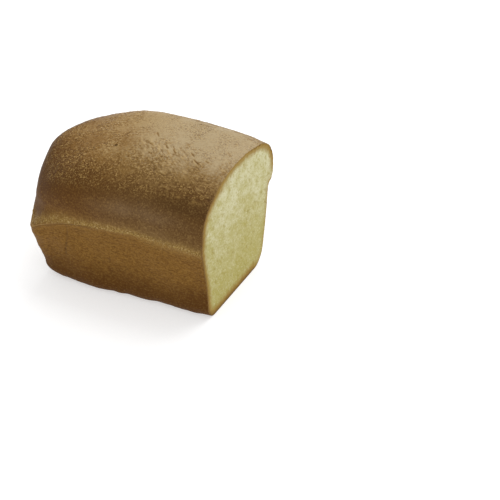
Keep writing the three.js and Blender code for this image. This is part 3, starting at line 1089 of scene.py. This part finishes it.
class StageSettings(bpy.types.PropertyGroup):
    azimuth: angle_of("Azimuth", "Turn of the camera round the loaf", 25.79)
    elevation: angle_of("Elevation", "Height of the camera above the horizon", 33.19)
    distance: length_of("Distance", "From the camera to the point it looks at", 1800)
    lens: FloatProperty(
        name="Lens", description="Focal length of the camera on a 36 mm sensor", default=166.5, unit="CAMERA"
    )
    floor: colour_of("Floor", "Colour of the floor", "#d4d4d4")
    sky: FloatProperty(
        name="Room Light", description="Brightness of the light from all round", default=0.7, min=0
    )
    key: light_of("Key Light", "Power of the softbox above and behind", 15)
    fill: light_of("Fill Light", "Power of the softbox on the cut side", 2)


# ---------------- operators

class LOAF_OT_crust(bpy.types.Operator):
    """Builds the crown crust and the tin crust as one skin, parted at the tin's rim"""

    bl_idname = "loaf.crust"
    bl_label = "Bake Crust"

    def execute(self, context):
        scene = context.scene
        points, normals, rim_row = dough(scene.loaf_sizes)
        height, shares = crust_relief(points, normals, rim_row, scene.loaf_crust_relief)
        points = points + normals * height[..., None] + TIN_MIDDLE
        points = np.clip(points, (-math.inf, *cad_box[0][1:]), (math.inf, *cad_box[1][1:]))
        points[..., 0] = np.maximum(points[..., 0], cad_box[0].x)
        skin = skin_mesh(points, shares)
        slice_away(skin, cad_box[1].x)
        skin.polygons.foreach_set("use_smooth", np.ones(len(skin.polygons), dtype=bool))
        skin.update()
        directions = np.empty(len(skin.vertices) * 3, dtype=np.float32)
        skin.vertex_normals.foreach_get("vector", directions)
        skin.attributes.new("skin_normal", "FLOAT_VECTOR", "POINT").data.foreach_set("vector", directions)
        colours = scene.loaf_colours
        upper = part_of_skin(skin, "crown_crust", above=True)
        lower = part_of_skin(skin, "tin_crust", above=False)
        crown = new_piece("crown_crust", upper, crown_crust_material(colours))
        tin = new_piece("tin_crust", lower, tin_crust_material(colours))
        bpy.data.meshes.remove(skin)
        return {"FINISHED"}


class LOAF_OT_cut_face(bpy.types.Operator):
    """Fills the knife's plane with crumb inside the edge of the crust"""

    bl_idname = "loaf.cut_face"
    bl_label = "Cut Face"

    def execute(self, context):
        edge = cut_edge(cad_box[1].x)
        middle = np.array((cad_box[1].x, TIN_MIDDLE[1] + CUT_MIDDLE[0], CUT_MIDDLE[1]))
        parts = np.linspace(1, 0, CUT_RINGS + 1)
        points = middle + (edge - middle) * parts[:, None, None]
        rim = tree_of(edge)
        away = np.array([rim.find(point)[2] for point in points.reshape(-1, 3).tolist()]) / MM
        away = away.reshape(points.shape[:2])
        behind, shares = crumb_relief(points, away, context.scene.loaf_crumb_relief)
        points[..., 0] -= behind
        rings, count = len(points) - 1, len(edge)
        here, right, quads = quads_of(rings, count)
        last = np.stack((here[-1], right[-1], np.full(count, rings * count)), axis=-1)
        mesh = bpy.data.meshes.new("cut_face")
        vertices = np.concatenate((points[:-1].reshape(-1, 3), points[-1, :1]))
        mesh.from_pydata(vertices.tolist(), [], quads.tolist() + last.tolist())
        give_shares(mesh, {name: np.concatenate((v[:-1].ravel(), v[-1, :1])) for name, v in shares.items()})
        face = new_piece("cut_face", mesh, crumb_material(context.scene.loaf_colours))
        return {"FINISHED"}


AIM = Vector((13.2 * MM, 0, 42.3 * MM))  # what the camera looks at, from the foot of the cut face
FLOOR_HALF = 6.0
SENSOR_WIDTH = 36
CLIP_END = 50
LIT_POINT = (0, 0, 0.06)
ABOVE = {"place": (0.15, 0.85, 1.45), "size": 1.4}
CUT_SIDE = {"place": (1.6, -0.9, 0.9), "size": 1.2}


def softbox(name, power, place, size):
    """A large square area light that faces the loaf."""
    light = bpy.data.lights.new(name, "AREA")
    light.shape = "SQUARE"
    light.size = size
    light.energy = power
    lamp = bpy.data.objects.new(name, light)
    lamp.location = place
    lamp.rotation_euler = (Vector(LIT_POINT) - Vector(place)).to_track_quat("-Z", "Y").to_euler()
    bpy.context.scene.collection.objects.link(lamp)


class LOAF_OT_stage(bpy.types.Operator):
    """Lays the floor and sets the lights and the camera"""

    bl_idname = "loaf.stage"
    bl_label = "Set Stage"

    def execute(self, context):
        scene, stage = context.scene, context.scene.loaf_stage
        mesh = bpy.data.meshes.new("floor")
        corners = [(x * FLOOR_HALF, y * FLOOR_HALF, 0) for x, y in ((-1, -1), (1, -1), (1, 1), (-1, 1))]
        mesh.from_pydata(corners, [], [(0, 1, 2, 3)])
        mesh.materials.append(floor_material(stage.floor))
        floor = bpy.data.objects.new("floor", mesh)
        scene.collection.objects.link(floor)

        softbox("softbox_above", stage.key, **ABOVE)
        softbox("softbox_cut_side", stage.fill, **CUT_SIDE)
        world = bpy.data.worlds.new("room")
        world.use_nodes = True
        world.node_tree.nodes["Background"].inputs["Color"].default_value = (1, 1, 1, 1)
        world.node_tree.nodes["Background"].inputs["Strength"].default_value = stage.sky
        scene.world = world

        run, rise = math.cos(stage.elevation), math.sin(stage.elevation)
        back = Vector((math.sin(stage.azimuth) * run, -math.cos(stage.azimuth) * run, rise))
        camera = bpy.data.cameras.new("camera")
        camera.sensor_width = SENSOR_WIDTH
        camera.lens = stage.lens
        camera.clip_end = CLIP_END
        eye = bpy.data.objects.new("camera", camera)
        eye.location = Vector((cad_box[1].x, TIN_MIDDLE[1], 0)) + AIM + back * stage.distance
        eye.rotation_euler = (-back).to_track_quat("-Z", "Y").to_euler()
        scene.collection.objects.link(eye)
        scene.camera = eye
        scene.view_settings.view_transform = "Standard"
        return {"FINISHED"}


GROUPS = {
    "loaf_sizes": LoafSizes,
    "loaf_crust_relief": CrustRelief,
    "loaf_crumb_relief": CrumbRelief,
    "loaf_colours": LoafColours,
    "loaf_stage": StageSettings,
}


class LOAF_PT_panel(bpy.types.Panel):
    """Sizes, colours and steps of the tin loaf"""

    bl_idname = "LOAF_PT_panel"
    bl_label = "Tin Loaf"
    bl_space_type = "VIEW_3D"
    bl_region_type = "UI"
    bl_category = "Tin Loaf"

    def draw(self, context):
        for name, group in GROUPS.items():
            box = self.layout.box()
            for prop in group.__annotations__:
                box.prop(getattr(context.scene, name), prop)
        for operator in (LOAF_OT_crust, LOAF_OT_cut_face, LOAF_OT_stage):
            self.layout.operator(operator.bl_idname)


CLASSES = (*GROUPS.values(), LOAF_OT_crust, LOAF_OT_cut_face, LOAF_OT_stage, LOAF_PT_panel)


def register():
    for cls in CLASSES:
        bpy.utils.register_class(cls)
    for name, group in GROUPS.items():
        setattr(bpy.types.Scene, name, PointerProperty(type=group))


def unregister():
    for name in GROUPS:
        delattr(bpy.types.Scene, name)
    for cls in reversed(CLASSES):
        bpy.utils.unregister_class(cls)


def main():
    register()
    bpy.ops.loaf.crust()
    bpy.ops.loaf.cut_face()
    bpy.ops.loaf.stage()


if __name__ == "__main__":
    main()
